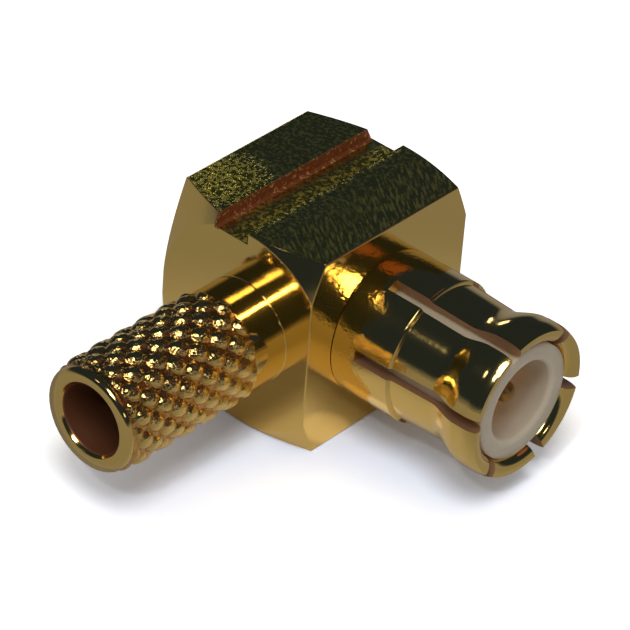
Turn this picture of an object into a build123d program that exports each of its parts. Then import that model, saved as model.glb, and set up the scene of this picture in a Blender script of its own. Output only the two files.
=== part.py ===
from build123d import *
from math import cos, pi, radians, sin, tan
import os

# A right-angle coaxial plug of the small push-fit kind, for crimping on a thin cable.
# The plug mates along +X, the cable leaves along -Y, and the block rests on its flat underside.
# The origin lies on that underside, right below the point where the two axes cross.
# All lengths are millimetres.

# Block: turned about the cable's axis, then milled with four flats
block_height = 5.2
block_near = 2.57          # from the crossing to the side that the stem leaves
block_far = 2.67           # from the crossing to the side away from the stem
block_front = 1.93         # from the crossing to the front flat
block_back = 2.53          # from the crossing to the back flat
end_face_radius = 2.55     # round flat left at each end inside the turned chamfer
end_chamfer_angle = 30.0   # slope of the turned chamfer against the end face
edge_break = 0.05          # rounding of the long milled edges

# Slot milled across the top flat, along the cable's axis
tool_slot_width = 1.0
tool_slot_depth = 0.3
tool_slot_offset = -0.55   # from the crossing to the middle of the slot

# Crimp stem, in one piece with the block
stem_neck_radius = 1.29
stem_neck_length = 0.96
stem_collar_radius = 1.27
stem_collar_length = 0.12
stem_collar_round = 0.07
stem_bore_radius = 0.85
stem_bore_chamfer = 0.08

# Diamond knurl on the stem: staggered rows of lozenge teeth
knurl_crest_radius = 1.34
knurl_root_radius = 1.24
knurl_rows = 10
knurl_pitch = 0.7          # from crest to crest along the stem, two rows apart
knurl_count = 13           # teeth round each row
knurl_turn = 24.0          # turn of the end row's first tooth from the +X side
knurl_flank_angle = 50.0   # of a tooth's side against the tooth's own axis
knurl_tooth_seat = 0.05    # how deep a tooth's foot lies in the core

# Barrel: six sprung fingers behind a snap lip, on a stiff boss
boss_radius = 1.79
boss_length = 1.67
boss_edge = 0.05
finger_root_radius = 1.7
finger_waist_radius = 1.65
flare_length = 0.85        # from the slimmest point to the full lip
lip_radius = 1.89
lip_length = 0.6           # from the full lip to the finger tips
lip_crown_radius = 0.8     # gentle curve of the lip towards the tips
lip_crown_length = 0.35
barrel_length = 4.27       # from the front flat to the finger tips
barrel_bore_radius = 1.45
tip_bevel_length = 0.22
tip_rim_width = 0.08
press_radius = 1.6
press_length = 0.7
finger_count = 6
saw_width = 0.3
saw_start = 0.67           # from the front flat to the closed end of the saw cuts
saw_turn = -9.0            # turn of the first cut from the +Y side

# White bushing in the barrel
bushing_flange_thickness = 0.3
bushing_front_setback = 0.15   # from the finger tips back to the bushing's face
bushing_recess_radius = 1.0
bushing_recess_depth = 2.6
bushing_recess_round = 0.06

# Pin
pin_radius = 0.25
pin_shank_radius = 0.42    # inside the bushing
pin_setback = 0.45         # from the finger tips back to the tip of the pin
solder_head_radius = 0.55
solder_head_back = 1.25    # from the crossing to the rear end of the solder head
wire_slot_width = 0.55
wire_slot_floor = 0.3      # from the crossing forward to the slot's floor

# Chamber behind the bushing, with the insulating plug and the cap that close it
chamber_radius = 1.3
rear_plug_front = 0.95     # from the crossing back to the plug's front face
rear_plug_pocket_end_gap = 0.05
cap_radius = 1.75
cap_thickness = 0.6
cap_chamfer = 0.08

# Clearances
saw_clearance = 0.1        # bushing's seat ends this far before the saw cuts
finger_clearance = 0.03    # radial, lets the fingers spring inwards
flange_clearance = 0.04    # radial, around the bushing's flange
shank_clearance = 0.01     # radial, around the pin's shank in the bushing
pocket_clearance = 0.02    # radial, around the solder head in the rear plug
plug_clearance = 0.04      # radial, around the rear plug in the chamber
cut_overrun = 1.0          # how far a cutting tool runs past the surface

# Places worked out from the sizes above
axis_height = block_height / 2
block_depth = block_front + block_back
bar_radius = 1.01 * (max(block_back, block_front) ** 2 + axis_height**2) ** 0.5
bar_drop = (bar_radius - end_face_radius) * tan(radians(end_chamfer_angle))
neck_end_y = -(block_near + stem_neck_length)
knurl_length = (knurl_rows + 1) * knurl_pitch / 2
knurl_end_y = neck_end_y - knurl_length
stem_end_y = knurl_end_y - stem_collar_length
boss_end_x = block_front + boss_length
tip_x = block_front + barrel_length
lip_start_x = tip_x - lip_length
waist_x = lip_start_x - flare_length
lip_crown_drop = lip_crown_radius - (lip_crown_radius**2 - lip_crown_length**2) ** 0.5
tip_radius = lip_radius - lip_crown_drop
saw_start_x = block_front + saw_start
press_end_x = block_front - press_length
flange_back_x = press_end_x - bushing_flange_thickness
bushing_front_x = tip_x - bushing_front_setback
recess_floor_x = bushing_front_x - bushing_recess_depth
pin_tip_x = tip_x - pin_setback
cap_front_x = cap_thickness - block_back

# Planes and axes: a turned profile is drawn as (place along the axis, radius)
crossing = (0, 0, axis_height)
cable_axis = Axis(crossing, (0, 1, 0))
mating_axis = Axis(crossing, (1, 0, 0))
cable_profile = Plane(origin=crossing, x_dir=(0, 1, 0), z_dir=(1, 0, 0))  # also across the barrel
mating_profile = Plane(origin=crossing, x_dir=(1, 0, 0), z_dir=(0, -1, 0))

os.makedirs("parts", exist_ok=True)


# One tooth of the knurl, standing on its foot
with BuildPart() as knurl_tooth:
    tooth_height = knurl_crest_radius - knurl_root_radius + knurl_tooth_seat
    half_along = knurl_pitch / 2
    half_across = knurl_root_radius * pi / knurl_count
    with BuildSketch():
        Polygon((half_along, 0), (0, half_across), (-half_along, 0), (0, -half_across))
    extrude(amount=tooth_height, taper=knurl_flank_angle)

# Places of the teeth: every second row is turned by half a tooth
tooth_foot_radius = knurl_root_radius - knurl_tooth_seat
tooth_places = []
for row in range(knurl_rows):
    tooth_y = knurl_end_y + (row + 1) * knurl_pitch / 2
    for tooth in range(knurl_count):
        turn = radians(knurl_turn + (tooth + row % 2 / 2) * 360 / knurl_count)
        outward = Vector(cos(turn), 0, sin(turn))
        foot = Vector(0, tooth_y, axis_height) + outward * tooth_foot_radius
        tooth_places.append(Plane(origin=foot, x_dir=(0, 1, 0), z_dir=outward).location)


# Body: block and crimp stem, one turned, knurled and milled piece
with BuildPart() as body:
    with BuildSketch(cable_profile):
        with BuildLine():
            Polyline(
                (neck_end_y, 0),
                (neck_end_y, stem_neck_radius),
                (-block_near, stem_neck_radius),
                (-block_near, end_face_radius),
                (-block_near + bar_drop, bar_radius),
                (block_far - bar_drop, bar_radius),
                (block_far, end_face_radius),
                (block_far, 0),
                close=True,
            )
        make_face()
    revolve(axis=cable_axis)

    # Four milled flats, with the long edges between them broken
    with BuildSketch(Plane.XZ):
        with Locations(((block_front - block_back) / 2, axis_height)):
            RectangleRounded(block_depth, block_height, edge_break)
    extrude(amount=abs(stem_end_y) + cut_overrun, both=True, mode=Mode.INTERSECT)

    # Plain collar at the end of the stem, with a rounded rim
    with BuildSketch(Plane.XZ.offset(-knurl_end_y)):
        with Locations((0, axis_height)):
            Circle(stem_collar_radius)
    extrude(amount=stem_collar_length)
    stem_rim = body.edges().filter_by(GeomType.CIRCLE).sort_by(Axis.Y)[0]
    fillet(stem_rim, stem_collar_round)

    # Core of the knurl, and its teeth
    with BuildSketch(Plane.XZ.offset(-neck_end_y)):
        with Locations((0, axis_height)):
            RegularPolygon(knurl_root_radius, 2 * knurl_count, major_radius=False)
    extrude(amount=knurl_length)
    with Locations(*tooth_places):
        add(knurl_tooth.part)

    # Slot across the top flat
    with BuildSketch(Plane.XZ):
        with Locations((tool_slot_offset, block_height)):
            Rectangle(tool_slot_width, 2 * tool_slot_depth)
    extrude(amount=block_far + cut_overrun, both=True, mode=Mode.SUBTRACT)

    # Cross bore for the barrel, the bushing, the solder chamber and the cap
    with BuildSketch(mating_profile):
        with BuildLine():
            Polyline(
                (-block_back - cut_overrun, 0),
                (-block_back - cut_overrun, cap_radius),
                (cap_front_x, cap_radius),
                (cap_front_x, chamber_radius),
                (flange_back_x, chamber_radius),
                (flange_back_x, press_radius),
                (block_front + cut_overrun, press_radius),
                (block_front + cut_overrun, 0),
                close=True,
            )
        make_face()
    revolve(axis=mating_axis, mode=Mode.SUBTRACT)

    # Bore for the cable, with a chamfered mouth
    with BuildSketch(cable_profile):
        with BuildLine():
            Polyline(
                (stem_end_y - cut_overrun, 0),
                (stem_end_y - cut_overrun, stem_bore_radius + stem_bore_chamfer + cut_overrun),
                (stem_end_y + stem_bore_chamfer, stem_bore_radius),
                (0, stem_bore_radius),
                (0, 0),
                close=True,
            )
        make_face()
    revolve(axis=cable_axis, mode=Mode.SUBTRACT)


# Outer contact: the sprung barrel, pressed into the front of the block
with BuildPart() as outer_contact:
    with BuildSketch(mating_profile):
        with BuildLine():
            Polyline(
                (press_end_x, barrel_bore_radius),
                (press_end_x, press_radius),
                (block_front, press_radius),
                (block_front, boss_radius - boss_edge),
                (block_front + boss_edge, boss_radius),
                (boss_end_x - boss_edge, boss_radius),
                (boss_end_x, finger_root_radius),
                (waist_x, finger_waist_radius),
            )
            flare = Spline(
                (waist_x, finger_waist_radius),
                (lip_start_x, lip_radius),
                tangents=((1, 0), (1, 0)),
            )
            Line(flare @ 1, (tip_x - lip_crown_length, lip_radius))
            RadiusArc(
                (tip_x - lip_crown_length, lip_radius),
                (tip_x, tip_radius),
                lip_crown_radius,
            )
            Polyline(
                (tip_x, tip_radius),
                (tip_x, tip_radius - tip_rim_width),
                (tip_x - tip_bevel_length, barrel_bore_radius),
                (press_end_x, barrel_bore_radius),
            )
        make_face()
    revolve(axis=mating_axis)

    # Saw cuts: each passes right through and opens two opposite slots
    with BuildSketch(cable_profile.offset(saw_start_x)):
        with PolarLocations(0, finger_count // 2, start_angle=saw_turn, angular_range=180):
            Rectangle(2 * lip_radius + cut_overrun, saw_width)
    extrude(amount=tip_x - saw_start_x + cut_overrun, mode=Mode.SUBTRACT)


# Front insulator: white bushing, trapped by its flange behind the barrel
with BuildPart() as front_insulator:
    seat_end_x = saw_start_x - saw_clearance
    nose_radius = barrel_bore_radius - finger_clearance
    shank_hole_radius = pin_shank_radius + shank_clearance
    with BuildSketch(mating_profile):
        with BuildLine():
            Polyline(
                (flange_back_x, shank_hole_radius),
                (flange_back_x, press_radius - flange_clearance),
                (press_end_x, press_radius - flange_clearance),
                (press_end_x, barrel_bore_radius),
                (seat_end_x, barrel_bore_radius),
                (seat_end_x, nose_radius),
                (bushing_front_x, nose_radius),
                (bushing_front_x, bushing_recess_radius + bushing_recess_round),
                (bushing_front_x - bushing_recess_round, bushing_recess_radius),
                (recess_floor_x, bushing_recess_radius),
                (recess_floor_x, shank_hole_radius),
                close=True,
            )
        make_face()
    revolve(axis=mating_axis)


# Centre contact: the pin, with a slotted solder head for the cable's inner wire
with BuildPart() as center_contact:
    with BuildSketch(mating_profile):
        with BuildLine():
            Polyline(
                (pin_tip_x - pin_radius, pin_radius),
                (recess_floor_x, pin_radius),
                (recess_floor_x, pin_shank_radius),
                (flange_back_x, pin_shank_radius),
                (flange_back_x, solder_head_radius),
                (-solder_head_back, solder_head_radius),
                (-solder_head_back, 0),
                (pin_tip_x, 0),
            )
            RadiusArc((pin_tip_x - pin_radius, pin_radius), (pin_tip_x, 0), pin_radius)
        make_face()
    revolve(axis=mating_axis)

    slot_length = solder_head_back + wire_slot_floor
    with BuildSketch(mating_profile):
        with Locations((wire_slot_floor - slot_length / 2, 0)):
            Rectangle(slot_length, wire_slot_width)
    extrude(amount=solder_head_radius + cut_overrun, both=True, mode=Mode.SUBTRACT)


# Rear insulator: white plug that holds the solder head clear of the cap
with BuildPart() as rear_insulator:
    plug_radius = chamber_radius - plug_clearance
    pocket_radius = solder_head_radius + pocket_clearance
    pocket_floor_x = -solder_head_back - rear_plug_pocket_end_gap
    with BuildSketch(mating_profile):
        with BuildLine():
            Polyline(
                (cap_front_x, 0),
                (cap_front_x, plug_radius),
                (-rear_plug_front, plug_radius),
                (-rear_plug_front, pocket_radius),
                (pocket_floor_x, pocket_radius),
                (pocket_floor_x, 0),
                close=True,
            )
        make_face()
    revolve(axis=mating_axis)


# Rear cap: pressed into the back of the block once the wire is soldered
with BuildPart() as rear_cap:
    with BuildSketch(mating_profile):
        with BuildLine():
            Polyline(
                (-block_back, 0),
                (-block_back, cap_radius - cap_chamfer),
                (-block_back + cap_chamfer, cap_radius),
                (cap_front_x, cap_radius),
                (cap_front_x, 0),
                close=True,
            )
        make_face()
    revolve(axis=mating_axis)


body.part.label = "body"
outer_contact.part.label = "outer_contact"
front_insulator.part.label = "front_insulator"
center_contact.part.label = "center_contact"
rear_insulator.part.label = "rear_insulator"
rear_cap.part.label = "rear_cap"

for piece in (body, outer_contact, front_insulator, center_contact, rear_insulator, rear_cap):
    export_step(piece.part, f"parts/{piece.part.label}.step")
    print(piece.part.label, round(piece.part.volume, 3), len(piece.part.solids()))
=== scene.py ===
# %% [markdown]
# A right-angle coaxial plug, about 10 mm long, plated with gold. A CAD program has already made
# its solids, so this lesson loads them as they are, in metres, and works on what the eye sees: the
# plating, the beads of the knurl, the soft edges of the barrel, the white bushing, the table and
# the light. Nearly every surface is a mirror, so most of the work is deciding what there is for
# the mirrors to see.

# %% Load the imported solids
import math
import bpy
import numpy as np
from mathutils import Matrix, Vector


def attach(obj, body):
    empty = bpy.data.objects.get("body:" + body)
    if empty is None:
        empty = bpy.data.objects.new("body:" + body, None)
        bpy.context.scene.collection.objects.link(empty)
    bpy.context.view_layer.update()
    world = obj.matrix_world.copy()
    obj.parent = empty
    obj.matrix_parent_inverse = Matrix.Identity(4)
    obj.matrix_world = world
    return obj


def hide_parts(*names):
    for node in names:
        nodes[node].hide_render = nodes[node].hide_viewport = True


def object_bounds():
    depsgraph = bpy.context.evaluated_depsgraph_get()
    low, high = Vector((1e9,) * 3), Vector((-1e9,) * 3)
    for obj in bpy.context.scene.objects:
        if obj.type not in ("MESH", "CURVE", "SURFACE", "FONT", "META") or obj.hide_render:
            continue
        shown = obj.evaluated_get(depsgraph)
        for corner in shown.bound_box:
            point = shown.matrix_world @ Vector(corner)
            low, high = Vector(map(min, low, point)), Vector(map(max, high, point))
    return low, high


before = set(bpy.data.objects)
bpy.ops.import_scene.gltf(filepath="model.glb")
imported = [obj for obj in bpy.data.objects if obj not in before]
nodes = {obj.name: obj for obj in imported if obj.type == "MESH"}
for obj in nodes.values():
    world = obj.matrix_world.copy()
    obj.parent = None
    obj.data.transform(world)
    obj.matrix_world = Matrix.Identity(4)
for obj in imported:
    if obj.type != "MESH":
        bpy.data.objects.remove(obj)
cad_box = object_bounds()
MM = 0.001
lowest, highest = (np.round(np.array(corner) / MM, 2).tolist() for corner in cad_box)
STEM_END = lowest[1]
TIP = highest[0]
BLOCK_TOP = highest[2]
AXIS_HEIGHT = BLOCK_TOP / 2
print("pieces:", sorted(nodes))
print("box of the solids in mm:", lowest, "to", highest, "with both axes", AXIS_HEIGHT, "up")

# %% [markdown]
# Three helpers carry all the materials. One turns a colour as a painter writes it, in sRGB
# hexadecimal, into the linear light that Blender reckons in. One adds a node to a tree, with its
# settings and its links, so that each material below reads as a list of its nodes. One starts a
# material. Some inputs go by number. A Mix node takes two numbers at 2 and 3, two vectors at 4
# and 5, or two colours at 6 and 7. A Map Range node turns the stretch from 1 to 2 of what comes in
# at 0 into the stretch from 3 to 4.

# %% Helpers for materials
def linear(hex_colour):
    """sRGB hex to linear RGBA: c / 12.92 below 0.04045, otherwise ((c + 0.055) / 1.055) ** 2.4."""
    parts = np.array([int(hex_colour[i:i + 2], 16) for i in (1, 3, 5)]) / 255
    light = np.where(parts <= 0.04045, parts / 12.92, ((parts + 0.055) / 1.055) ** 2.4)
    return (*light.tolist(), 1.0)


def add_node(tree, kind, inputs=None, **settings):
    """Adds one node: kind is its type after ShaderNode, settings are its own options, and inputs
    go to its sockets by name or number. A node given as an input stands for its live output."""
    node = tree.nodes.new("ShaderNode" + kind)
    for name, value in settings.items():
        setattr(node, name, value)
    for socket, value in (inputs or {}).items():
        if isinstance(value, bpy.types.Node):
            value = next(out for out in value.outputs if out.enabled)
        if isinstance(value, bpy.types.NodeSocket):
            tree.links.new(value, node.inputs[socket])
        else:
            node.inputs[socket].default_value = value
    return node


def start_material(name):
    """An empty material with its output node, and the object's own coordinates in metres."""
    material = bpy.data.materials.new(name)
    material.use_nodes = True
    tree = material.node_tree
    tree.nodes.clear()
    output = add_node(tree, "OutputMaterial")
    place = add_node(tree, "TexCoord").outputs["Object"]
    return material, tree, output, place


print("white is", linear("#FFFFFF"), "and mid grey is", linear("#808080"))

# %% [markdown]
# Much of the plug is turned, so many masks below ask how far a point is from the axis of the
# barrel or of the stem. Both axes lie at the same height. Taking that height off and leaving out
# the way along the axis gives the vector straight out from it, whose length is the radius. A second
# helper puts a finished material on one of the solids.

# %% Helpers for turned pieces and for dressing a solid
OFF_BARREL_AXIS = (0, 1, 1)
OFF_STEM_AXIS = (1, 0, 1)


def way_out(tree, place, keep):
    """The vector out from an axis: (place - the axis's height) * keep, where keep is 0 along it."""
    lowered = add_node(tree, "VectorMath", {0: place, 1: (0, 0, AXIS_HEIGHT * MM)}, operation="SUBTRACT")
    return add_node(tree, "VectorMath", {0: lowered, 1: keep}, operation="MULTIPLY")


def dress(name, material):
    """Puts a material on a solid, in place of the one that it came with."""
    nodes[name].data.materials.clear()
    nodes[name].data.materials.append(material)
    print(name, "is dressed in", material.name)


print("the stem's mouth is", round(-STEM_END, 2), "mm out and the barrel's tip", TIP, "mm")

# %% [markdown]
# The body is brass, turned and milled and then plated with hard gold about a micrometre thick. The
# plating copies whatever is under it: bright flats at the sides, a turned core, and a top flat as
# the milling cutter left it, dull and speckled. The walls of the tool slot and the bore are painted
# redder, partly for thinner plating there and partly as painted shade and light bounced between
# the gold walls. Each finish could be a material of its own, given to some of the faces, but their
# borders don't follow the faces of the solid. So one material does all of it, and masks made from
# the place and the facing of the surface choose between the finishes.

# %% Masks of the body: its milled top, the walls of its slot and its bore
SLOT_MIDDLE, SLOT_HALF = -0.55, 0.5
TOP_ZONE = 0.35           # takes in the top flat and the floor of the slot, 0.3 mm under it
BORE_LIMIT = 0.87         # just outside the stem's bore

body_gold, tree, output, place = start_material("hard gold on turned and milled brass")
x_place, y_place, z_place = add_node(tree, "SeparateXYZ", {0: place}).outputs
geometry = add_node(tree, "NewGeometry")
facing = add_node(tree, "SeparateXYZ", {0: geometry.outputs["True Normal"]})
near_top = add_node(tree, "Math", {0: z_place, 1: (BLOCK_TOP - TOP_ZONE) * MM}, operation="GREATER_THAN")
faces_up = add_node(tree, "Math", {0: facing.outputs["Z"], 1: 0.99}, operation="GREATER_THAN")
top_mask = add_node(tree, "Math", {0: near_top, 1: faces_up}, operation="MULTIPLY")
slot_zone = {0: x_place, 1: SLOT_MIDDLE * MM, 2: (SLOT_HALF + 0.01) * MM}
over_slot = add_node(tree, "Math", slot_zone, operation="COMPARE")
in_slot = add_node(tree, "Math", {0: over_slot, 1: near_top}, operation="MULTIPLY")
sideways = add_node(tree, "Math", {0: facing.outputs["X"]}, operation="ABSOLUTE")
steep = add_node(tree, "Math", {0: sideways, 1: 0.9}, operation="GREATER_THAN")
# A strip of the floor, at the foot of the left wall, gets the walls' painted red shade too
foot_limit = (SLOT_MIDDLE - SLOT_HALF + 0.12) * MM
foot = add_node(tree, "Math", {0: x_place, 1: foot_limit}, operation="LESS_THAN")
upright = add_node(tree, "Math", {0: steep, 1: foot}, operation="MAXIMUM")
wall_mask = add_node(tree, "Math", {0: in_slot, 1: upright}, operation="MULTIPLY")

stem_out = way_out(tree, place, OFF_STEM_AXIS)
stem_radius = add_node(tree, "VectorMath", {0: stem_out}, operation="LENGTH")
narrow = add_node(tree, "Math", {0: stem_radius, 1: BORE_LIMIT * MM}, operation="LESS_THAN")
on_stem = add_node(tree, "Math", {0: y_place, 1: 0.0}, operation="LESS_THAN")
bore_mask = add_node(tree, "Math", {0: narrow, 1: on_stem}, operation="MULTIPLY")
print("the masks of the body take", len(tree.nodes), "nodes")

# %% [markdown]
# The milling cutter tore grains out of the top flat. It did so most at the near left end and along
# the slot, while the right part has askew scratches instead. A picture could show where, but it
# would need a UV map, which a CAD solid hasn't got. A distance from a point, a distance from a
# line and a ramp are enough.

# %% Where the milled top is torn
PATCH_MIDDLE = (-1.9 * MM, -1.5 * MM, BLOCK_TOP * MM)
PATCH_FULL, PATCH_END = 0.5, 1.5
BAND_X = -0.30             # the torn band runs along the right half of the slot
BAND_FULL, BAND_END = 0.20, 0.46
RIGHT_FROM, RIGHT_TO = 0.1, 0.8

from_patch = add_node(tree, "VectorMath", {0: place, 1: PATCH_MIDDLE}, operation="DISTANCE")
patchy = add_node(tree, "MapRange", {
    0: from_patch, 1: PATCH_FULL * MM, 2: PATCH_END * MM, 3: 0.78, 4: 0.0}, interpolation_type="SMOOTHSTEP")
off_band = add_node(tree, "Math", {0: x_place, 1: BAND_X * MM}, operation="SUBTRACT")
from_band = add_node(tree, "Math", {0: off_band}, operation="ABSOLUTE")
banded = add_node(tree, "MapRange", {
    0: from_band, 1: BAND_FULL * MM, 2: BAND_END * MM, 3: 0.66, 4: 0.0}, interpolation_type="SMOOTHSTEP")
worn = add_node(tree, "Math", {0: patchy, 1: banded}, operation="MAXIMUM")
right_part = add_node(tree, "MapRange", {0: x_place, 1: RIGHT_FROM * MM, 2: RIGHT_TO * MM, 3: 0.0, 4: 0.85})
worn_too = add_node(tree, "Math", {0: right_part, 1: 0.17, 2: worn}, operation="MULTIPLY_ADD")
lean = add_node(tree, "Math", {0: worn_too, 1: 0.66, 2: 0.15}, operation="MULTIPLY_ADD", use_clamp=True)
matt_zone = add_node(tree, "Math", {0: worn_too, 1: 0.80, 2: 0.14}, operation="MULTIPLY_ADD", use_clamp=True)
print("torn within", PATCH_FULL, "mm of", [round(c / MM, 2) for c in PATCH_MIDDLE], "and less beyond")

# %% [markdown]
# A torn grain leans far enough to see the room's pale rim, and it is unburnished, so it glows olive
# among the mirrors. Modelled grains would take millions of faces. Noise that feeds a Bump node
# tilts the normals instead, and a second noise, squeezed to clumps, says where the grains stand.

# %% Grains and scratches of the milled top
PIXEL = 0.023              # what a pixel of the picture spans on the plug, in mm
GRAIN = 0.06               # real ones are about 0.01 mm, too fine for a pixel, so they are drawn coarser
CLUMP, SCRATCHED_CLUMP = 0.09, 0.065
TEAR_DEPTH = 0.12
SCRATCH_ANGLE, SCRATCH_STRETCH = math.radians(-36), 5

grains = add_node(tree, "TexNoise", {
    "Vector": place, "Scale": 1 / (GRAIN * MM), "Detail": 2.0, "Roughness": 0.6})
askew = add_node(tree, "Mapping", {
    "Vector": place, "Rotation": (0, 0, SCRATCH_ANGLE), "Scale": (SCRATCH_STRETCH, 1, 1)},
    vector_type="TEXTURE")
scratches = add_node(tree, "TexNoise", {
    "Vector": askew, "Scale": 1 / (GRAIN * MM), "Detail": 2.0, "Roughness": 0.6})
relief = add_node(tree, "Mix", {"Factor": right_part, 2: grains, 3: scratches})
few = add_node(tree, "TexNoise", {"Vector": place, "Scale": 1 / (CLUMP * MM), "Detail": 2.0})
few_askew = add_node(tree, "TexNoise", {
    "Vector": askew, "Scale": 1 / (SCRATCHED_CLUMP * MM), "Detail": 2.0})
fewer = add_node(tree, "Mix", {"Factor": right_part, 2: few, 3: few_askew})
clumps = add_node(tree, "MapRange", {0: fewer, 1: 0.44, 2: 0.58, 3: 0.12, 4: 1.0})
in_clumps = add_node(tree, "Math", {0: lean, 1: clumps}, operation="MULTIPLY")
stand = add_node(tree, "Math", {0: in_clumps, 1: top_mask}, operation="MULTIPLY")
milled = add_node(tree, "Bump", {"Height": relief, "Strength": stand, "Distance": TEAR_DEPTH * MM})
matt_clumps = add_node(tree, "MapRange", {0: fewer, 1: 0.47, 2: 0.62, 3: 0.05, 4: 1.0})
matt_here = add_node(tree, "Math", {0: matt_clumps, 1: matt_zone}, operation="MULTIPLY")
bloom = add_node(tree, "Math", {0: matt_here, 1: top_mask}, operation="MULTIPLY")
print("a grain drawn", GRAIN, "mm across spans", round(GRAIN / PIXEL, 1), "pixels")

# %% [markdown]
# Tumbling before the plating breaks every edge by a few hundredths of a millimetre, and that thin
# round catches a line of light. The end face of the stem is turned round, like half a ring. A Bevel
# modifier needs a cleaner mesh than the loose triangles of a CAD solid, so a Bevel node bends the
# normals at the edges, and a push along the radius bends those of the end face.

# %% Broken edges and the domed end of the stem
EDGE_BREAK = 0.05
DOME_INSIDE, DOME_OUTSIDE, DOME_DEPTH = 0.90, 1.25, 0.09
BORE_LEAN, RIM_LEAN = -0.45, 1.1

broken = add_node(tree, "Bevel", {"Radius": EDGE_BREAK * MM}, samples=6)
lean_out = add_node(tree, "MapRange", {
    0: stem_radius, 1: DOME_INSIDE * MM, 2: DOME_OUTSIDE * MM, 3: BORE_LEAN, 4: RIM_LEAN})
at_end = add_node(tree, "Math", {0: y_place, 1: (STEM_END + DOME_DEPTH) * MM}, operation="LESS_THAN")
domed = add_node(tree, "Math", {0: lean_out, 1: at_end}, operation="MULTIPLY")
spoke = add_node(tree, "VectorMath", {0: stem_out}, operation="NORMALIZE")
push = add_node(tree, "VectorMath", {0: spoke, "Scale": domed}, operation="SCALE")
pushed = add_node(tree, "VectorMath", {0: broken, 1: push}, operation="ADD")
dome = add_node(tree, "VectorMath", {0: pushed}, operation="NORMALIZE")
print("at the rim the end face leans out by", round(math.degrees(math.atan(RIM_LEAN))), "degrees")

# %% [markdown]
# The flats look even, but a mirror shows the least swell in them, a few tenths of a millimetre
# across. The walls of the slot are torn by the cutter and glitter. Both are shallow and would cost
# many faces, so each is a Bump node on top of the normals so far, and the top's mask then picks
# between them and the milled normals.

# %% Swell of the flats and torn walls of the slot
SWELL, SWELL_DEPTH = 0.5, 0.006
WALL_TEAR = 0.03

swell = add_node(tree, "TexNoise", {"Vector": place, "Scale": 1 / (SWELL * MM), "Detail": 2.0})
plated = add_node(tree, "Bump", {
    "Height": swell, "Distance": SWELL_DEPTH * MM, "Normal": dome, "Strength": 0.6})
torn = add_node(tree, "Bump", {
    "Height": few, "Strength": wall_mask, "Distance": WALL_TEAR * MM, "Normal": plated})
skin = add_node(tree, "Mix", {"Factor": top_mask, 4: torn, 5: milled}, data_type="VECTOR")
print("the flats swell by", SWELL_DEPTH, "mm and the slot's walls are torn by", WALL_TEAR, "mm")

# %% [markdown]
# Hard gold is a deep yellow mirror. Where it is torn it is greener and duller. In the slot and the
# bore it is painted red-brown, partly for thinner plating over the brass and partly as painted shade
# and light bounced between the gold walls. Gold in a render gets its colour from the base colour of a
# metal, so the masks mix base colours, and they take some of the metal away where the surface is
# matt. To the eye the sides are then dark mirrors, the top glows, and the slot and bore are brown.

# %% Colours and gloss of the body
GOLD = linear("#F5D07A")
GOLD_DULL, GOLD_TORN = linear("#D2C268"), linear("#D8C440")
# The red and brown of the slot's walls and the bore are partly painted shade and light bounced between the
# gold walls
WALL_RED_SHADE, WALL_GLITTER = linear("#9A5A34"), linear("#E8B070")
BORE_BROWN_SHADE = linear("#8E5A3C")

milled_tint = add_node(tree, "Mix", {"Factor": worn, 6: GOLD_DULL, 7: GOLD_TORN}, data_type="RGBA")
golden = add_node(tree, "Mix", {"Factor": top_mask, 6: GOLD, 7: milled_tint}, data_type="RGBA")
glitter = add_node(tree, "MapRange", {0: few, 1: 0.58, 2: 0.68})
wall_shade_tint = add_node(tree, "Mix", {"Factor": glitter, 6: WALL_RED_SHADE, 7: WALL_GLITTER}, data_type="RGBA")
# Painted red shade in the bore and on the slot's walls
redder = add_node(tree, "Mix", {"Factor": bore_mask, 6: wall_shade_tint, 7: BORE_BROWN_SHADE}, data_type="RGBA")
red_shade_mask = add_node(tree, "Math", {0: wall_mask, 1: bore_mask}, operation="MAXIMUM")
tint = add_node(tree, "Mix", {"Factor": red_shade_mask, 6: golden, 7: redder}, data_type="RGBA")
top_rough = add_node(tree, "Math", {0: top_mask, 1: 0.02, 2: 0.10}, operation="MULTIPLY_ADD")
slot_rough = add_node(tree, "Math", {0: in_slot, 1: 0.05, 2: top_rough}, operation="MULTIPLY_ADD")
rough = add_node(tree, "Math", {0: red_shade_mask, 1: 0.30, 2: slot_rough}, operation="MULTIPLY_ADD")
matt_spots = add_node(tree, "Math", {0: bloom, 1: -0.34, 2: 1.0}, operation="MULTIPLY_ADD")
metallic = add_node(tree, "Math", {0: red_shade_mask, 1: -0.35, 2: matt_spots}, operation="MULTIPLY_ADD")
metal = add_node(tree, "BsdfPrincipled", {
    "Base Color": tint, "Metallic": metallic, "Roughness": rough, "Normal": skin})
tree.links.new(metal.outputs[0], output.inputs[0])
dress("body", body_gold)
print("nodes in the body's plating:", len(tree.nodes))

# %% [markdown]
# The barrel, the pin and the cap come off a small lathe and are plated in the same way. The tool
# leaves rings round the axis, which smear a reflection along it, and the barrel's shoulder is
# pitted as well. Rings could be turned into the mesh, but they are a micrometre or two deep, which
# only the reflections show. So they are noise, stretched fifty times round the axis. Real feed
# marks are some 0.02 mm apart, a pixel here, so they are drawn as 0.05 mm.

# %% Rings and pits of the turned pieces
RING_STEP, RING_STRETCH = 0.05, 50
PIT, PIT_DEPTH = 0.09, 0.008
SHOULDER_FROM, SHOULDER_TO = 2.6, 3.2


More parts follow.
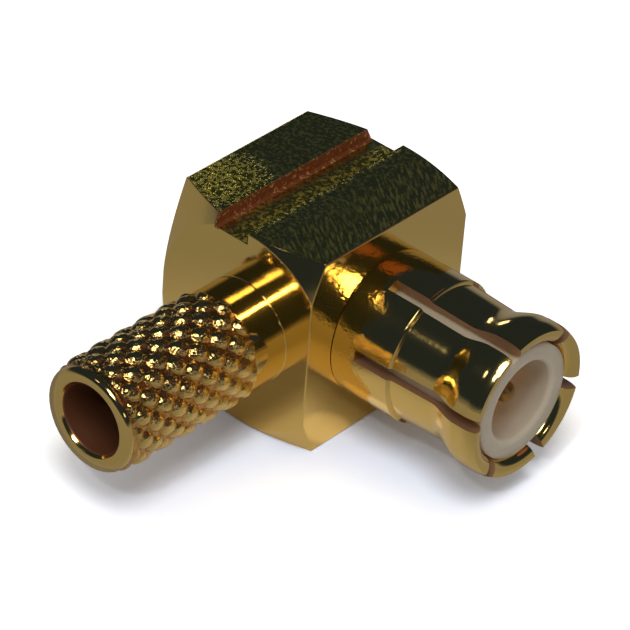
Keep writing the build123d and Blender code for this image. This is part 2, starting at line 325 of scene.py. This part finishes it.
def turned_relief(tree, place, ring_depth):
    """Normals over rings round the X axis, with pits that are deep on the barrel's shoulder."""
    squeezed = (1, 1 / RING_STRETCH, 1 / RING_STRETCH)
    along = add_node(tree, "Mapping", {"Vector": place, "Scale": squeezed})
    rings = add_node(tree, "TexNoise", {"Vector": along, "Scale": 1 / (RING_STEP * MM), "Detail": 2.0})
    ringed = add_node(tree, "Bump", {"Height": rings, "Distance": ring_depth})
    pits = add_node(tree, "TexNoise", {"Vector": place, "Scale": 1 / (PIT * MM), "Detail": 2.0})
    x_place = add_node(tree, "SeparateXYZ", {0: place}).outputs["X"]
    shoulder = add_node(tree, "MapRange", {
        0: x_place, 1: SHOULDER_TO * MM, 2: SHOULDER_FROM * MM, 3: 0.12, 4: 1.0})
    return add_node(tree, "Bump", {
        "Height": pits, "Distance": PIT_DEPTH * MM, "Strength": shoulder, "Normal": ringed})


print("pits reach full depth", PIT_DEPTH, "mm up to", SHOULDER_FROM, "mm from the stem's axis")

# %% [markdown]
# A saw has cut the barrel into fingers, and the walls of its cuts are rough. They are also painted a
# tan brown, a painted reflection of the white bushing beside them. They could be picked out face
# by face, but the way that they face tells them from the rest: a sawn wall faces round the axis,
# while every turned surface faces along it or away from it. So the product of the normal with the
# direction round the axis is the mask.

# %% Plating of the barrel, the pin and the cap
# The sawn walls' tan is a painted reflection of the bushing
SAWN_TAN_REFLECTION = linear("#B08866")
# The pin's darker, browner gold is painted shade for its place deep in the recess
PIN_GOLD_SHADED = linear("#B98D4C")       # browner than the barrel, and duller, as its roughness says
FINE_RINGS, COARSE_RINGS = 0.0006, 0.002


def sawn_walls(tree, place, strength):
    """How far the surface faces round the X axis: the size of normal . (outward x axis)."""
    outward = add_node(tree, "VectorMath", {0: way_out(tree, place, OFF_BARREL_AXIS)}, operation="NORMALIZE")
    around = add_node(tree, "VectorMath", {0: outward, 1: (1, 0, 0)}, operation="CROSS_PRODUCT")
    facing = add_node(tree, "NewGeometry").outputs["True Normal"]
    turned_by = add_node(tree, "VectorMath", {0: around, 1: facing}, operation="DOT_PRODUCT")
    amount = add_node(tree, "Math", {0: turned_by}, operation="ABSOLUTE")
    return add_node(tree, "MapRange", {0: amount, 1: 0.85, 2: 0.95, 3: 0.0, 4: strength})


def turned_gold(name, colour, roughness, ring_depth, sawn=0.0):
    """Bright plating over turned rings; sawn turns on the rougher walls of the saw cuts, whose tan base
    colour is a painted reflection of the bushing.
    """
    material, tree, output, place = start_material(name)
    wall = sawn_walls(tree, place, sawn)
    tint = add_node(tree, "Mix", {"Factor": wall, 6: colour, 7: SAWN_TAN_REFLECTION}, data_type="RGBA")
    rough = add_node(tree, "MapRange", {0: wall, 3: roughness, 4: 0.45})
    metallic = add_node(tree, "MapRange", {0: wall, 3: 1.0, 4: 0.65})
    metal = add_node(tree, "BsdfPrincipled", {
        "Base Color": tint, "Metallic": metallic, "Roughness": rough,
        "Normal": turned_relief(tree, place, ring_depth)})
    tree.links.new(metal.outputs[0], output.inputs[0])
    return material


barrel_gold = turned_gold("hard gold on the turned barrel", GOLD, 0.10, FINE_RINGS * MM, sawn=1.0)
dress("outer_contact", barrel_gold)
dress("center_contact", turned_gold("hard gold on the turned pin", PIN_GOLD_SHADED, 0.35, COARSE_RINGS * MM))
dress("rear_cap", turned_gold("hard gold on the turned cap", GOLD, 0.14, COARSE_RINGS * MM))

# %% [markdown]
# Two pieces get a finer surface than the solid has: the knurl and the barrel. Such surfaces could be
# made with modifiers or by hand, but a formula is exact, so each is a grid of points that numpy
# works out all at once. These helpers number the faces of a grid and turn it into a piece. The
# volume is a test: a positive one shows that the faces look outwards.

# %% Helpers for new pieces
def grid_faces(rows, columns, looped=False, closed=False):
    """Faces of a grid of points numbered row by row. Looped joins the last row to the first, and
    closed joins the last column to the first."""
    number = np.arange(rows * columns).reshape(rows, columns)
    if looped:
        number = np.vstack([number, number[:1]])
    if closed:
        number = np.hstack([number, number[:, :1]])
    corners = [number[:-1, :-1], number[1:, :-1], number[1:, 1:], number[:-1, 1:]]
    return np.stack(corners, axis=-1).reshape(-1, 4)


def make_piece(name, points, faces, material, sharp):
    """A mesh object from points in mm and faces; edges sharper than the angle stay sharp. Its
    volume is the sum of a . (b x c) / 6 over its triangles."""
    triangles = np.vstack([faces[:, [0, 1, 2]], faces[:, [0, 2, 3]]])
    a, b, c = (points[triangles[:, k]] for k in range(3))
    volume = np.einsum("ij,ij->i", a, np.cross(b, c)).sum() / 6
    if volume < 0:
        faces = faces[:, ::-1]
    mesh = bpy.data.meshes.new(name)
    mesh.from_pydata((points * MM).tolist(), [], faces.tolist())
    mesh.shade_smooth()
    mesh.set_sharp_from_angle(angle=math.radians(sharp))
    mesh.materials.append(material)
    piece = bpy.data.objects.new(name, mesh)
    bpy.context.scene.collection.objects.link(piece)
    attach(piece, "root")
    print(name, "has", len(faces), "faces round", round(abs(volume), 2), "mm3")
    return piece


def around_x(x, r, angle):
    """Points at x along the barrel's axis, r out from it, at an angle from +Y towards +Z, in mm."""
    x, r, angle = np.broadcast_arrays(x, r, angle)
    return np.stack([x, r * np.cos(angle), r * np.sin(angle) + AXIS_HEIGHT], axis=-1)


def around_y(y, r, angle):
    """Points at y along the stem's axis, r out from it, at an angle from +X towards +Z, in mm."""
    y, r, angle = np.broadcast_arrays(y, r, angle)
    return np.stack([r * np.cos(angle), y, r * np.sin(angle) + AXIS_HEIGHT], axis=-1)


print("a cell of a grid is a face:", grid_faces(2, 2).tolist())

# %% [markdown]
# The crimp stem is diamond-knurled, so that the cable's braid can't slide off it. A knurling tool
# rolls two sets of slanting ridges into the brass, and the plating rounds what stands up, where
# they cross, to rows of small beads. The beads could be copies of one bead, but on a grid they
# melt into the floor between them as real ones do. The number of the ridge that a point is on,
# counted once for each slant and rounded, gives the nearest bead, and the way to its middle gives
# the height.

# %% Height of the knurl
KNURL_FLOOR, KNURL_HEIGHT = 1.25, 0.125
KNURL_COUNT, KNURL_PITCH = 13, 0.70
KNURL_FIRST = STEM_END + 0.47
KNURL_TURN = math.radians(24)
BEAD_STEP, BEAD_POWER = 0.674, 2.7
BEADS_FROM, BEADS_TO = STEM_END + 0.17, -3.50
END_BAND, END_RADIUS = STEM_END + 0.28, 1.272


def knurl_radius(y, angle):
    """Floor plus flat-topped beads: h * (1 - (d / reach) ** 2.7), where d is the way to the middle
    of the nearest bead and reach is half its width. The height h differs a little by a luck number,
    the part after the point of 43.76 * sin(a number for each bead)."""
    around = KNURL_COUNT * (angle - KNURL_TURN) / (2 * np.pi)
    along = (y - KNURL_FIRST) / KNURL_PITCH
    right, left = around + along, around - along
    bead_right, bead_left = np.round(right), np.round(left)
    ring_number = np.mod(bead_right + bead_left, 2 * KNURL_COUNT)
    luck = np.sin(12.99 * ring_number + 78.23 * (bead_right - bead_left)) * 43.76
    height = KNURL_HEIGHT * (0.90 + 0.16 * (luck - np.floor(luck)))
    d_squared = BEAD_STEP ** 2 * ((right - bead_right) ** 2 + 0.7 * (left - bead_left) ** 2) / 2
    reach_squared = (BEAD_STEP / 8 ** 0.5) ** 2
    cap = height * (1 - (d_squared / reach_squared) ** (BEAD_POWER / 2))
    fade = np.clip((y - BEADS_FROM) / 0.14, 0, 1) * np.clip((BEADS_TO - y) / 0.10, 0, 1)
    plain_end = np.where(y < END_BAND, END_RADIUS, 0)
    return np.maximum(KNURL_FLOOR + np.clip(cap, 0, None) * np.sqrt(fade), plain_end)


print("a bead stands", KNURL_HEIGHT, "mm high over a floor", KNURL_FLOOR, "mm from the axis")

# %% [markdown]
# On the real plug the beads are rolled and tumbled, so no two of them shine alike: each bead shows
# a few small glints over a dark brown mirror. The valleys are rougher, and painted redder and darker
# for the shade and the light bounced between the beads. That unevenness is far finer than the grid,
# so it is left to the material: noise of 0.13 mm, a fifth of a bead, drawn coarser than the real pits
# so that it shows.

# %% Plating of the knurl
TUMBLE = 0.13
CREST, VALLEY = 1.34, 1.26
# Painted shade: the valleys between the beads are painted darker and redder
VALLEY_SHADE_GOLD = linear("#D8A258")

knurl_gold, tree, output, place = start_material("hard gold on the rolled knurl")
tumble = add_node(tree, "TexNoise", {"Vector": place, "Scale": 1 / (TUMBLE * MM), "Detail": 3.0})
uneven = add_node(tree, "Bump", {"Height": tumble, "Distance": 0.05 * MM, "Strength": 0.85})
radius = add_node(tree, "VectorMath", {0: way_out(tree, place, OFF_STEM_AXIS)}, operation="LENGTH")
valley = add_node(tree, "MapRange", {0: radius, 1: CREST * MM, 2: VALLEY * MM, 3: 0.0, 4: 1.0})
tint = add_node(tree, "Mix", {"Factor": valley, 6: GOLD, 7: VALLEY_SHADE_GOLD}, data_type="RGBA")
rough = add_node(tree, "MapRange", {0: valley, 3: 0.12, 4: 0.22})
metal = add_node(tree, "BsdfPrincipled", {
    "Base Color": tint, "Metallic": 1.0, "Roughness": rough, "Normal": uneven})
tree.links.new(metal.outputs[0], output.inputs[0])
print("nodes in the knurl's plating:", len(tree.nodes))

# %% [markdown]
# The beads lie on the stem as a thin sleeve: out along the height worked out above, and back along
# a plain inside, which is sunk in the stem's core. The sleeve could take the core's place, but the
# core is one piece with the block, so it stays, and the sleeve covers its plainer teeth.

# %% Sleeve of beads
SLEEVE_FROM, SLEEVE_TO, SLEEVE_INSIDE = STEM_END + 0.10, -3.51, 1.21
POINTS_PER_BEAD = 22

y = np.linspace(SLEEVE_FROM, SLEEVE_TO, 157)[:, None]
angle = np.linspace(0, 2 * np.pi, KNURL_COUNT * POINTS_PER_BEAD, endpoint=False)[None, :]
outside = around_y(y, knurl_radius(y, angle), angle)
inside = around_y(y[::-1], SLEEVE_INSIDE, angle)
points = np.concatenate([outside, inside]).reshape(-1, 3)
faces = grid_faces(2 * len(y), angle.size, looped=True, closed=True)
knurl = make_piece("knurl", points, faces, knurl_gold, sharp=60)
print("the beads reach", round(float(knurl_radius(y, angle).max()), 3), "mm out from the axis")

# %% [markdown]
# The barrel mates with the jack: six fingers, sawn apart, that spring inwards as the lip passes the
# jack's ring. The solid has its sizes, but hard edges and a straight bevel in its mouth, and on a
# mirror that shows. Rounding it by hand would be slow, so the barrel is built again from one outer
# and one inner line, each a formula for the radius at a place along the axis.

# %% Outer and inner line of the barrel
FRONT, ROOT = 1.93, 2.60           # the block's front, and where the saw cuts start
WAIST, FLARE = 4.75, 5.60          # the flare begins and ends
BOSS_RADIUS, FINGER_RADIUS, BORE = 1.79, 1.70, 1.45
STEP_FROM, STEP_TO, STEP_DEPTH = 3.57, 3.63, 0.09
TAPER, FLARE_RISE = 0.05, 0.24
CROWN_FROM, CROWN_RADIUS = 5.85, 0.8
ROUNDING = 0.30
ROUND_FROM = TIP - ROUNDING


def barrel_outside(x):
    """Boss, a small step down to the fingers, a slight taper, a flare of 3 s ** 2 - 2 s ** 3 up to
    the lip, and the lip's crown, which falls off along an arc of 0.8 mm."""
    boss = BOSS_RADIUS - STEP_DEPTH * np.clip((x - STEP_FROM) / (STEP_TO - STEP_FROM), 0, 1) ** 1.5
    finger = FINGER_RADIUS - TAPER * np.clip((x - STEP_TO) / (WAIST - STEP_TO), 0, 1)
    s = np.clip((x - WAIST) / (FLARE - WAIST), 0, 1)
    flare = FINGER_RADIUS - TAPER + FLARE_RISE * s * s * (3 - 2 * s)
    fall = CROWN_RADIUS - np.sqrt(CROWN_RADIUS ** 2 - np.clip(x - CROWN_FROM, 0, TIP - CROWN_FROM) ** 2)
    return np.where(x < STEP_TO, boss, np.where(x < WAIST, finger, flare)) - fall


def barrel_inside(x):
    """The plain bore, then a quarter of an ellipse that rounds the inside of the tips."""
    u = np.clip((x - ROUND_FROM) / ROUNDING, 0, 1)
    return BORE + ROUNDING * (1 - np.sqrt(1 - u ** 2))


x = np.unique(np.round(np.concatenate([
    np.linspace(ROOT, STEP_FROM - 0.02, 12), np.linspace(STEP_FROM - 0.02, STEP_TO + 0.02, 11),
    np.linspace(STEP_TO + 0.02, WAIST, 14), np.linspace(WAIST, CROWN_FROM, 34),
    [CROWN_FROM + 0.02], ROUND_FROM + ROUNDING * np.sin(np.linspace(0, np.pi / 2, 20))]), 5))[:, None]
print("the lip is", round(2 * float(barrel_outside(x).max()), 2), "mm across")

# %% [markdown]
# A saw cuts a slot of the same width everywhere, so seen from the axis a slot is wider near it. A
# Boolean cut could make the slots, but it leaves slivers that spoil a mirror. Here each finger
# is its own grid: at each radius it runs between two angles, which are asin(half the slot's
# width / radius) away from the middles of its slots.

# %% Six fingers
SLOT_WIDTH = 0.30
SAW_TURN = math.radians(-9)
FINGERS = 6

across = np.linspace(0, 1, 25)[None, :]
turns = SAW_TURN + 2 * np.pi / FINGERS * np.arange(FINGERS)


def finger_shell(radius):
    """Points of all fingers on one line of the barrel, from asin(half slot / r) after one slot's
    middle to as much before the next one's."""
    half = np.arcsin(SLOT_WIDTH / 2 / radius)
    fan = half + across * (2 * np.pi / FINGERS - 2 * half)
    return around_x(x[None], radius[None], fan[None] + turns[:, None, None])


outer, inner = finger_shell(barrel_outside(x)), finger_shell(barrel_inside(x))
loop = np.concatenate([outer, inner[:, ::-1]], axis=1)
rows, columns = len(x), across.size
finger_faces = grid_faces(2 * rows, columns, looped=True)
edge = np.arange(2 * rows) * columns
for side in (0, columns - 1):
    top, bottom = edge[:rows] + side, edge[::-1][:rows] + side
    wall = np.stack([top[:-1], bottom[:-1], bottom[1:], top[1:]], axis=-1)
    finger_faces = np.vstack([finger_faces, wall if side == 0 else wall[:, ::-1]])
points = loop.reshape(-1, 3)
faces = np.vstack([finger_faces + k * 2 * rows * columns for k in range(FINGERS)])
print("each of the", FINGERS, "fingers has", len(finger_faces), "faces, with both sawn walls")

# %% [markdown]
# Behind the saw cuts the barrel is a whole ring, which is pressed into the block. It is a plain
# profile carried round the axis, and needs no formula. Its end stands against the fingers' ends, so
# the two make one piece. A Bevel modifier then breaks the edges: on this clean mesh it gives real
# rounds, which show even in the outline.

# %% The unsawn root, and the barrel as one piece
PRESSED_FROM, PRESSED_RADIUS = 1.23, 1.60
BROKEN_EDGE = 0.025

root_line = np.array([
    (PRESSED_FROM, BORE), (PRESSED_FROM, PRESSED_RADIUS), (FRONT, PRESSED_RADIUS),
    (FRONT, BOSS_RADIUS - 0.04), (FRONT + 0.015, BOSS_RADIUS - 0.01), (FRONT + 0.05, BOSS_RADIUS),
    (ROOT, BOSS_RADIUS), (ROOT, BORE)])
angle = np.linspace(0, 2 * np.pi, 144, endpoint=False)
ring = around_x(root_line[:, :1], root_line[:, 1:], angle[None])
ring_faces = grid_faces(len(root_line), angle.size, looped=True, closed=True)
faces = np.vstack([faces, ring_faces + len(points)])
points = np.vstack([points, ring.reshape(-1, 3)])
barrel = make_piece("barrel", points, faces, barrel_gold, sharp=35)
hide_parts("outer_contact")
soften = barrel.modifiers.new("broken edges", "BEVEL")
soften.width, soften.segments = BROKEN_EDGE * MM, 2
soften.limit_method, soften.angle_limit = "ANGLE", math.radians(50)
soften.harden_normals = True
print("edges of the barrel are broken by", BROKEN_EDGE, "mm")

# %% [markdown]
# The two insulators are turned from white fluoroplastic rod. A plain white paint would look like
# chalk: this plastic is matt and waxy, and light goes a little way into it. So the shader has
# subsurface scattering, which is light that comes out beside where it went in. Its turned outside,
# seen through the saw cuts, and the floor of its recess look tan, from the gold around them.

# %% Where the fluoroplastic is tan
OUTSIDE_RADIUS, RECESS_RADIUS = 1.42, 1.00
RECESS_MOUTH, RECESS_SHADE = 6.0, 4.6

white, tree, output, place = start_material("white fluoroplastic turned from rod")
radius = add_node(tree, "VectorMath", {0: way_out(tree, place, OFF_BARREL_AXIS)}, operation="LENGTH")
x_place = add_node(tree, "SeparateXYZ", {0: place}).outputs["X"]
outside = add_node(tree, "MapRange", {
    0: radius, 1: (OUTSIDE_RADIUS - 0.01) * MM, 2: (OUTSIDE_RADIUS + 0.01) * MM})
inside = add_node(tree, "MapRange", {
    0: radius, 1: (RECESS_RADIUS + 0.02) * MM, 2: (RECESS_RADIUS - 0.02) * MM})
deep = add_node(tree, "MapRange", {0: x_place, 1: RECESS_MOUTH * MM, 2: RECESS_SHADE * MM},
                interpolation_type="SMOOTHSTEP")
haze = add_node(tree, "Math", {0: deep, 1: inside}, operation="MULTIPLY")
tan = add_node(tree, "Math", {0: outside, 1: haze}, operation="MAXIMUM")
print("the recess is tan from", round(TIP - RECESS_SHADE, 2), "mm behind the barrel's tip")

# %% [markdown]
# Rod stock is a little cloudy, in patches of some 0.4 mm, and the turned rims are soft, so a Bevel
# node rounds them for the light. Much light soaks through the thin wall into the recess. To follow it
# exactly would take many bounces, so a faint glow in the recess stands for it.

# %% White fluoroplastic
CLOUD, SOFT_RIM, LIGHT_REACH = 0.4, 0.14, 0.7
WHITE_DARK, WHITE_PALE = linear("#B4A894"), linear("#BDB29F")
TAN, GLOW_TAN, GLOW = linear("#D2B184"), linear("#D8A872"), 0.18

cloud = add_node(tree, "TexNoise", {"Vector": place, "Scale": 1 / (CLOUD * MM), "Detail": 3.0})
shade = add_node(tree, "Mix", {"Factor": cloud, 6: WHITE_DARK, 7: WHITE_PALE}, data_type="RGBA")
colour = add_node(tree, "Mix", {"Factor": tan, 6: shade, 7: TAN}, data_type="RGBA")
soaked = add_node(tree, "Math", {0: haze, 1: GLOW}, operation="MULTIPLY")
soft = add_node(tree, "Bevel", {"Radius": SOFT_RIM * MM}, samples=6)
wax = add_node(tree, "BsdfPrincipled", {
    "Base Color": colour, "Roughness": 0.6, "Normal": soft,
    "Subsurface Weight": 0.9, "Subsurface Radius": (1.0, 0.85, 0.7), "Subsurface Scale": LIGHT_REACH * MM,
    "Emission Color": GLOW_TAN, "Emission Strength": soaked})
tree.links.new(wax.outputs[0], output.inputs[0])
dress("front_insulator", white)
dress("rear_insulator", white)

# %% [markdown]
# The plug lies on a white table in a dark room. A photographer lights such a table until it is
# plain white, but more lamps here would burn out the gold, so the table's paint does it instead:
# Light Path tells which ray is looking. The lens sees the table lifted to white, while in the
# plating it is grey. First comes the table itself, a plain square far wider than the picture.

# %% Table
TABLE_HALF = 150

half = TABLE_HALF * MM
corners = [(-half, -half, 0), (half, -half, 0), (half, half, 0), (-half, half, 0)]
table = bpy.data.meshes.new("table")
table.from_pydata(corners, [], [(0, 1, 2, 3)])
floor = bpy.data.objects.new("table", table)
bpy.context.scene.collection.objects.link(floor)
floor_paint, tree, output, place = start_material("white table")
print("the table is", 2 * TABLE_HALF, "mm across")

# %% [markdown]
# In the plating the table is brightest close to the plug, and once more beside the barrel. Two
# distances, each turned to a grey, draw these pools where a lamp over a real table would.

# %% Pools of light that the plating mirrors
POOL_FULL, POOL_END, POOL_GREY = 3, 9, 0.70
BESIDE_BARREL = (2.3 * MM, -1.3 * MM, 0)
BESIDE_FULL, BESIDE_END, BESIDE_GREY = 0.4, 0.95, 1.0
AWAY_GREY, TABLE_GREY = 0.36, 0.8

away = add_node(tree, "VectorMath", {0: place}, operation="LENGTH")
pool = add_node(tree, "MapRange", {
    0: away, 1: POOL_FULL * MM, 2: POOL_END * MM, 3: POOL_GREY, 4: AWAY_GREY},
    interpolation_type="SMOOTHSTEP")
beside = add_node(tree, "VectorMath", {0: place, 1: BESIDE_BARREL}, operation="DISTANCE")
beside_pool = add_node(tree, "MapRange", {
    0: beside, 1: BESIDE_FULL * MM, 2: BESIDE_END * MM, 3: BESIDE_GREY, 4: AWAY_GREY},
    interpolation_type="SMOOTHSTEP")
pools = add_node(tree, "Math", {0: pool, 1: beside_pool}, operation="MAXIMUM")
path = add_node(tree, "LightPath")
grey = add_node(tree, "Mix", {"Factor": path.outputs["Is Glossy Ray"], 2: TABLE_GREY, 3: pools})
print("mirrored, the table is a grey from", BESIDE_GREY, "down to", AWAY_GREY)

# %% [markdown]
# Camera rays, and rays that come through something clear, get the table lifted to white. An
# Ambient Occlusion node, which measures how much of the sky is open, paints a deeper shadow into the
# table's colour where plug and table meet, and paints that shadow a little cooler. A picture of a
# shadow could be laid on the table instead, but this painted one follows the plug's own shape.

# %% The table as the lens sees it
LIFT, SHADOW_LIFT = 1.85, 0.48     # times the light that falls there, and the share left in a shadow
CONTACT = 2.5
# These factors paint the shadow near the plug a little cooler: less red and more blue
PAINTED_COOL_SHADE = (0.92, 1.03, 1.28, 1)       # factors on the light and not a colour: less red and more blue

seen = add_node(tree, "Math", {
    0: path.outputs["Is Camera Ray"], 1: path.outputs["Is Transmission Ray"]}, operation="MAXIMUM")
# Painted contact shadow: the table's colour is darker where little sky is open
open_sky = add_node(tree, "AmbientOcclusion", {"Distance": CONTACT * MM}, samples=8).outputs["AO"]
lift_and_painted_shadow = add_node(tree, "MapRange", {0: open_sky, 3: SHADOW_LIFT * LIFT, 4: LIFT})
shown = add_node(tree, "Mix", {"Factor": seen, 2: grey, 3: lift_and_painted_shadow})
near_painted_shadow = add_node(tree, "MapRange", {0: open_sky, 1: 0.85, 2: 0.40})
near_seen = add_node(tree, "Math", {0: near_painted_shadow, 1: seen}, operation="MULTIPLY")
cooled_shadow = add_node(tree, "Mix", {"Factor": near_seen, 6: (1, 1, 1, 1), 7: PAINTED_COOL_SHADE}, data_type="RGBA")
paint = add_node(tree, "VectorMath", {0: cooled_shadow, "Scale": shown}, operation="SCALE")
matt = add_node(tree, "BsdfDiffuse", {"Color": paint})
tree.links.new(matt.outputs[0], output.inputs[0])
floor.data.materials.append(floor_paint)
print("nodes in the table's paint:", len(tree.nodes))

# %% [markdown]
# The room is what the plating mirrors beyond the table: nearly black, a little blue, with a pale
# rim above the horizon where the table's far side and the walls are. A model of a room would
# do, but it would be far more work than a background that differs by kind of ray: white for the
# lens, dim and even for the light on matt surfaces, and the dark room for mirrors.

# %% World
ROOM = linear("#232D3F")
RIM_FROM, RIM_TO, RIM_GREY = -0.02, 0.14, 0.17
SOFT_LIGHT = 0.33

world = bpy.data.worlds.new("dark studio")
bpy.context.scene.world = world
world.use_nodes = True
tree = world.node_tree
tree.nodes.clear()
direction = add_node(tree, "TexCoord").outputs["Generated"]
height = add_node(tree, "SeparateXYZ", {0: direction}).outputs["Z"]
horizon = add_node(tree, "MapRange", {0: height, 1: RIM_FROM, 2: RIM_TO, 3: RIM_GREY, 4: 0.0},
                   interpolation_type="SMOOTHSTEP")
path = add_node(tree, "LightPath")
glossy = path.outputs["Is Glossy Ray"]
soft = add_node(tree, "Math", {0: path.outputs["Is Diffuse Ray"], 1: SOFT_LIGHT}, operation="MULTIPLY")
seen = add_node(tree, "Math", {
    0: path.outputs["Is Camera Ray"], 1: path.outputs["Is Transmission Ray"]}, operation="MAXIMUM")
rim = add_node(tree, "Math", {0: horizon, 1: glossy}, operation="MULTIPLY")
not_mirrored = add_node(tree, "Math", {0: soft, 1: seen}, operation="ADD")
total = add_node(tree, "Math", {0: not_mirrored, 1: rim}, operation="ADD")
sky = add_node(tree, "Background", {"Color": linear("#FFFFFF"), "Strength": total})
room = add_node(tree, "Background", {"Color": ROOM, "Strength": glossy})
both = add_node(tree, "AddShader", {0: sky, 1: room})
add_node(tree, "OutputWorld", {0: both})
print("nodes in the world:", len(tree.nodes))

# %% [markdown]
# A lamp does two things here: it lights the table and the matt surfaces, and the plating mirrors it
# as a bright patch. Its width sets the size of that patch, and its power over its area the
# brightness. The key lamp stands high in front and makes the broad patches and the shadow, and the
# small lamps make the glints. The patches could be painted on, but then they would stay put as the
# camera moves. A warm, dim wall behind at the right gives the barrel's shoulder its red-brown.

# %% Lamps
LAMP_AWAY = 0.3


def lamp_at(name, azimuth, elevation, across, power, colour="#FFFFFF"):
    """A round lamp that faces the plug from 0.3 m away. Its azimuth from +X and its elevation are in
    degrees, its width across in mm and its power in watts."""
    a, e = math.radians(azimuth), math.radians(elevation)
    towards = Vector((math.cos(a) * math.cos(e), math.sin(a) * math.cos(e), math.sin(e)))
    lamp = bpy.data.lights.new(name, "AREA")
    lamp.shape, lamp.size, lamp.energy = "DISK", across * MM, power
    lamp.color = linear(colour)[:3]
    holder = bpy.data.objects.new(name, lamp)
    holder.location = towards * LAMP_AWAY
    holder.rotation_euler = towards.to_track_quat("Z", "Y").to_euler()
    bpy.context.scene.collection.objects.link(holder)
    holder.visible_camera = False
    print(name, "at", [round(c, 3) for c in holder.location])


lamp_at("left_lamp", -116, 47, 40, 0.012)
lamp_at("near_lamp", -68, 49, 24, 0.08)
lamp_at("key_lamp", -50, 61, 118, 0.31)
lamp_at("far_lamp", 140, 15, 44, 0.012)
lamp_at("right_lamp", -5, 24, 40, 0.015)
lamp_at("warm_wall", 42, 44, 120, 0.0075, "#FFA070")

# %% [markdown]
# The camera stands where the photographer's did. It could be placed by eye, but with mirrors a
# degree matters, so its place was worked out from the edges of the block: 0.09 m away, with a long
# lens. Its turn is given by the two directions that are right and up in the picture, and the third,
# towards the lens, follows from them.

# %% Camera
LENS_PIXELS, VIEW_PIXELS, SENSOR = 4000, 630, 36
CAMERA_PLACE = Vector((47.414, -57.421, 55.847)) * MM

lens = bpy.data.cameras.new("camera")
lens.sensor_width = SENSOR
lens.lens = LENS_PIXELS * SENSOR / VIEW_PIXELS
lens.clip_start, lens.clip_end = 1 * MM, 10
camera = bpy.data.objects.new("camera", lens)
right = Vector((0.738603, 0.671121, 0.063738))
up = Vector((-0.434381, 0.401482, 0.806303))
turn = Matrix((right, up, right.cross(up))).transposed().to_4x4()
camera.matrix_world = Matrix.Translation(CAMERA_PLACE) @ turn
bpy.context.scene.collection.objects.link(camera)
bpy.context.scene.camera = camera
bpy.context.scene.view_settings.view_transform = "Standard"
print("the lens is", round(lens.lens, 1), "mm long and", round(CAMERA_PLACE.length / MM, 1), "mm away")
